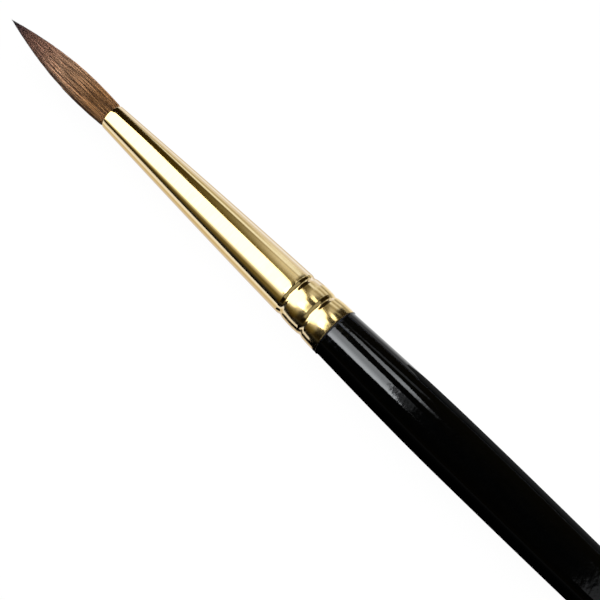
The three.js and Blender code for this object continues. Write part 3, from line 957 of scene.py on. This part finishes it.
# %% Panel end
END_NEAR = [
    (-0.326, -0.03), (-0.25, -0.03), (-0.255, -0.12), (-0.262, -0.2), (-0.267, -0.3),
    (-0.272, -0.43), (-0.277, -0.55), (-0.283, -0.66), (-0.296, -0.78),
]
END_FAR = [
    (-0.338, -0.80), (-0.375, -0.85), (-0.475, -0.93), (-0.41, -0.62), (-0.385, -0.45),
    (-0.36, -0.2),
]
END_LEVELS = [(0.0, 0.5), (-0.3, 0.52), (-0.45, 0.74), (-0.6, 0.97), (-0.72, 1.0), (-0.9, 0.75)]
panel_end = ceiling_light("panel_end", END_NEAR + END_FAR, COOL, strength=8.4)
tree = panel_end.id_data
along_v = graded(tree, object_axis(tree, "Y"), END_LEVELS, 0.0, -CEILING, COOL)
set_inputs(panel_end, {"Color": along_v})

SPILL = [
    (-0.213, -0.03), (-0.25, -0.03), (-0.262, -0.2), (-0.267, -0.3), (-0.272, -0.43),
    (-0.283, -0.66), (-0.296, -0.78), (-0.27, -0.7), (-0.235, -0.43),
]
ceiling_light("panel_spill", SPILL, COOL, strength=0.33)

# %% Small lamps
LINE = [
    (-0.39, 0.56), (-0.39, 0.74), (-0.33, 0.68), (-0.295, 0.69), (-0.25, 0.58), (-0.20, 0.50),
    (-0.20, 0.36), (-0.25, 0.35), (-0.29, 0.37), (-0.335, 0.42),
]
LINE_LEVELS = [
    (-0.2, 0.0), (-0.22, 0.2), (-0.24, 0.6), (-0.27, 1.0), (-0.3, 0.65), (-0.325, 0.68),
    (-0.355, 0.42),
]
line_lamp = ceiling_light("line_lamp", LINE, COOL, strength=5.2)
tree = line_lamp.id_data
along_u = graded(tree, object_axis(tree, "X"), LINE_LEVELS, 0.0, -CEILING, COOL)
set_inputs(line_lamp, {"Color": along_u})

FAINT = [(-0.47, 1.05), (-0.47, 1.42), (-0.42, 1.62), (-0.37, 1.62), (-0.335, 1.2), (-0.40, 1.12)]
STRIPE = [(-0.495, 1.0), (-0.515, 1.13), (-0.60, 1.22), (-0.585, 1.1)]
CARD = [(0.03, -1.7), (0.03, 0.8), (0.5, 0.8), (0.5, -1.7)]
ceiling_light("faint_lamp", FAINT, COOL, strength=0.42)
ceiling_light("stripe_lamp", STRIPE, NEUTRAL, strength=0.95)
ceiling_light("pale_card", CARD, COOL, strength=0.4)

# %% Key
KEY = [(-0.8, -0.3), (0.8, -0.3), (0.8, 1.1), (-0.8, 1.1)]
ceiling_light("soft_key", KEY, NEUTRAL, strength=2.9, height=1.5, mirrored=False)

# %% [markdown]
# ### The room
#
# The rest of the room is dark, which is what makes the gold look deep. On the far side a little
# light comes back from the room's end, over a pale wall low on the horizon. On the near side there
# is a low glow. Another wall stands beyond the butt, for views from the point's side. All are
# painted into the world as functions of the direction (x, y, z): from above, the ferrule mirrors
# directions with x from -0.5 to -0.3, the bands and the handle those with x above -0.3.
#
# The sum is a plain light level, and a last ramp tints it, because what is dim in a room is warm and
# what is bright is a little cool. The camera itself sees the world as white, like the floor, so that
# there is no horizon.

# %% World
world = bpy.data.worlds.new("studio_room")
bpy.context.scene.world = world
world.use_nodes = True
tree = world.node_tree
direction = add_node(tree, "ShaderNodeTexCoord").outputs["Generated"]
x, y, z = add_node(tree, "ShaderNodeSeparateXYZ", {0: direction}).outputs

MIRRORED_X = (-0.55, 0.05)  # the part of the room that the near end of the brush mirrors
TONE_TOP = 1.2
TONES = [
    (0.0, (0.0, 0.0, 0.0)),
    (0.055, (0.055, 0.037, 0.005)),
    (0.16, (0.16, 0.135, 0.06)),
    (0.29, (0.29, 0.276, 0.209)),
    (0.65, (0.645, 0.648, 0.70)),
    (1.0, (0.99, 1.06, 1.34)),
    (TONE_TOP, (1.2, 1.4, 2.05)),
]


def toned(tree, level):
    """The colour of a light level in the room, warm where it is dim and cool where it is bright."""
    return ramp(tree, level, TONES, 0.0, TONE_TOP)


# %% The far side
far_end = graded(tree, x, [
    (-0.476, 0.015), (-0.448, 0.055), (-0.422, 0.09), (-0.396, 0.2), (-0.37, 0.33),
    (-0.355, 0.52), (-0.335, 0.9), (-0.312, 0.95), (-0.295, 0.02), (0.0, 0.02),
], *MIRRORED_X)
above = graded(tree, z, [
    (0.3, 1.2), (0.45, 1.1), (0.5, 0.6), (0.55, 1.0), (0.7, 0.95), (0.8, 0.7), (0.88, 0.4),
], 0.0, 1.0)
wall_top = graded(tree, x, [
    (-0.468, 0.01), (-0.458, 0.06), (-0.445, 0.27), (-0.42, 0.39), (-0.39, 0.43),
    (-0.355, 0.465), (-0.305, 0.465), (-0.29, 0.05), (-0.26, 0.01),
], *MIRRORED_X)
up_the_wall = combined(tree, "DIVIDE", z, wall_top)
wall = graded(tree, up_the_wall, [
    (0.0, 0.6), (0.45, 0.62), (0.58, 1.1), (0.66, 1.15), (0.88, 1.15), (1.04, 0.0),
], 0.0, 1.2)
far_side = combined(tree, "MAXIMUM", combined(tree, "MULTIPLY", far_end, above), wall)
on_far_side = graded(tree, y, [(-0.05, 0.05), (0.15, 1.0)], -0.2, 0.4)

# %% The near side, and beyond the butt
low_glow = graded(tree, z, [(0.0, 0.04), (0.07, 0.09), (0.16, 0.16), (0.24, 0.03)], 0.0, 0.5)
glow_reach = graded(tree, x, [
    (-0.49, 0.2), (-0.45, 0.35), (-0.40, 1.0), (-0.32, 1.0), (-0.30, 0.1),
], *MIRRORED_X)
near_side = combined(tree, "MULTIPLY", low_glow, glow_reach)
on_near_side = graded(tree, y, [(-0.6, 1.0), (-0.4, 0.0)], -0.8, 0.0)

butt_wall = graded(tree, z, [
    (0.0, 0.9), (0.12, 0.8), (0.25, 0.35), (0.45, 0.5), (0.55, 0.15), (0.9, 0.3),
], 0.0, 1.0)
beyond_butt = graded(tree, x, [(0.45, 0.0), (0.65, 1.0)], 0.4, 0.8)

# %% The room's sum, and white for the camera
parts = [(far_side, on_far_side), (near_side, on_near_side), (butt_wall, beyond_butt)]
shares = [combined(tree, "MULTIPLY", level, place) for level, place in parts]
room = combined(tree, "ADD", combined(tree, "ADD", shares[0], shares[1]), shares[2])
by_camera = add_node(tree, "ShaderNodeLightPath").outputs["Is Camera Ray"]
seen = {0: by_camera, 6: toned(tree, room), 7: (1, 1, 1, 1)}
sky = add_node(tree, "ShaderNodeMix", seen, data_type="RGBA").outputs[2]
set_inputs(tree.nodes["Background"], {"Color": sky})
print(f"{world.name}: {len(tree.nodes)} nodes")

# %% [markdown]
# ### Cloths on the floor
#
# A mirror finish on a white floor would lose its lower edge. Photographers lay dark cloth beside
# the subject, just outside the picture, to draw a dark line along each flank. Three sheets do that
# here: a nearly black one on the near side, and on the far side a grey one that darkens with the
# distance, with a dim one over part of it. Only mirrored rays see them.

# %% Cloths
CLOTH_Z = 0.01 * MM
CLOTH_CHANGES = 100


def floor_cloth(name, outline, levels, height=CLOTH_Z):
    """A sheet on the floor, its outline in millimetres.

    levels gives its light level at some millimetres from the line under the brush."""
    shine = glowing_sheet(name, [(x * MM, y * MM, height) for x, y in outline])
    tree = shine.id_data
    grey = graded(tree, beside_brush(tree), in_metres(levels), 0.0, CLOTH_CHANGES * MM)
    set_inputs(shine, {"Color": grey})


NEAR_CLOTH = [
    (2900, -1.5), (-32.2, -1.5), (-32.9, -5.2), (-39.5, -5.2), (-39.3, -8.2), (-34.6, -8.6),
    (-35.5, -12), (-39, -12.8), (-41, -13.4), (-45, -14.4), (-50.5, -15.6), (-58.5, -18.6),
    (-65, -20.5), (-75, -29), (-90, -43), (-2900, -1600), (-2900, -2900), (2900, -2900),
]
NEAR_GREYS = [(14, 0.0), (25, 0.008), (40, 0.015), (60, 0.04), (100, 0.05)]
FAR_CLOTH = [(-37, 4), (2900, 4), (2900, 2900), (-950, 2900)]
FAR_GREYS = [(10, 1.05), (14, 0.7), (19, 0.35), (30, 0.48), (60, 0.48), (80, 0.3), (100, 0.0)]
DIM_CLOTH = [
    (-20.5, 4), (-24.3, 10), (-26, 18), (-26.5, 28), (-31, 55), (-40, 100), (2900, 100), (2900, 4),
]
DIM_GREYS = [(4, 0.06), (10, 0.08), (30, 0.06), (60, 0.02)]
floor_cloth("near_cloth", NEAR_CLOTH, NEAR_GREYS)
floor_cloth("far_cloth", FAR_CLOTH, FAR_GREYS)
floor_cloth("dim_cloth", DIM_CLOTH, DIM_GREYS, height=2 * CLOTH_Z)

# %% [markdown]
# ### Two small cards
#
# The rolled bands mirror the same directions as the handle behind them, yet they should look bright
# where the handle is black. Only something near the brush can do that: seen from the bands and from
# the handle, a card 28 mm away stands in different directions. One card stands on each side, and
# each is brighter at some heights than at others.

# %% Cards
CARD_AWAY = 28 * MM
CARD_TOP = 70


def standing_card(name, y, outline, levels):
    """An upright card at y, its outline as (x, z) in millimetres; levels are (z, light level)."""
    shine = glowing_sheet(name, [(x * MM, y, z * MM) for x, z in outline])
    tree = shine.id_data
    grey = graded(tree, object_axis(tree, "Z"), in_metres(levels), 0.0, CARD_TOP * MM)
    set_inputs(shine, {"Color": toned(tree, grey)})


FAR_CARD = [
    (-44.3, 0), (-39.2, 0), (-39.7, 12.6), (-42.3, 30), (-44.6, 40), (-48.5, 49), (-49, 70),
    (-56, 70), (-52.5, 49), (-50, 40), (-48, 30), (-45, 12.6),
]
FAR_LEVELS = [
    (0, 0.95), (4, 1.0), (8.4, 0.42), (11, 0.6), (14.8, 1.15), (18, 0.7), (21.7, 0.42),
    (30, 0.75), (40, 0.8), (50, 1.0), (56, 1.1), (70, 0.95),
]
NEAR_CARD = [
    (-46.5, 0), (-41.5, 0), (-42.2, 18), (-43.6, 27), (-43.6, 35), (-50, 35), (-47.5, 20),
]
NEAR_LEVELS = [
    (0, 0.03), (2.5, 0.04), (6.4, 0.08), (10.5, 0.13), (13.7, 0.2), (16.6, 0.26), (19.7, 0.36),
    (23, 0.55), (27, 0.85), (31, 1.1), (35, 1.2),
]
standing_card("far_card", CARD_AWAY, FAR_CARD, FAR_LEVELS)
standing_card("near_card", -CARD_AWAY, NEAR_CARD, NEAR_LEVELS)

# %% [markdown]
# ## The camera
#
# A macro view from above, a little from the butt's side, with the brush across the frame from
# corner to corner. It is placed by the direction and the distance from a point on the ferrule,
# because those are what a photographer would change.

# %% Camera
AZIMUTH, ELEVATION = math.radians(46.08), math.radians(68.94)
TARGET = Vector((-37.05 * MM, -0.1 * MM, AXIS_Z))
DISTANCE = 182.4 * MM
LENS, SENSOR = 94.98, 36  # in millimetres, as the camera's own settings are
NEAREST, FARTHEST = 0.005, 20
towards_camera = Vector((
    math.sin(AZIMUTH) * math.cos(ELEVATION),
    -math.cos(AZIMUTH) * math.cos(ELEVATION),
    math.sin(ELEVATION),
))
camera = bpy.data.objects.new("camera", bpy.data.cameras.new("camera"))
bpy.context.scene.collection.objects.link(camera)
camera.data.lens = LENS
camera.data.sensor_width = SENSOR
camera.data.clip_start = NEAREST
camera.data.clip_end = FARTHEST
camera.location = TARGET + DISTANCE * towards_camera
camera.rotation_euler = (-towards_camera).to_track_quat("-Z", "Y").to_euler()
bpy.context.scene.camera = camera
bpy.context.scene.view_settings.view_transform = "Standard"
print("camera in mm:", [round(value / MM, 1) for value in camera.location])
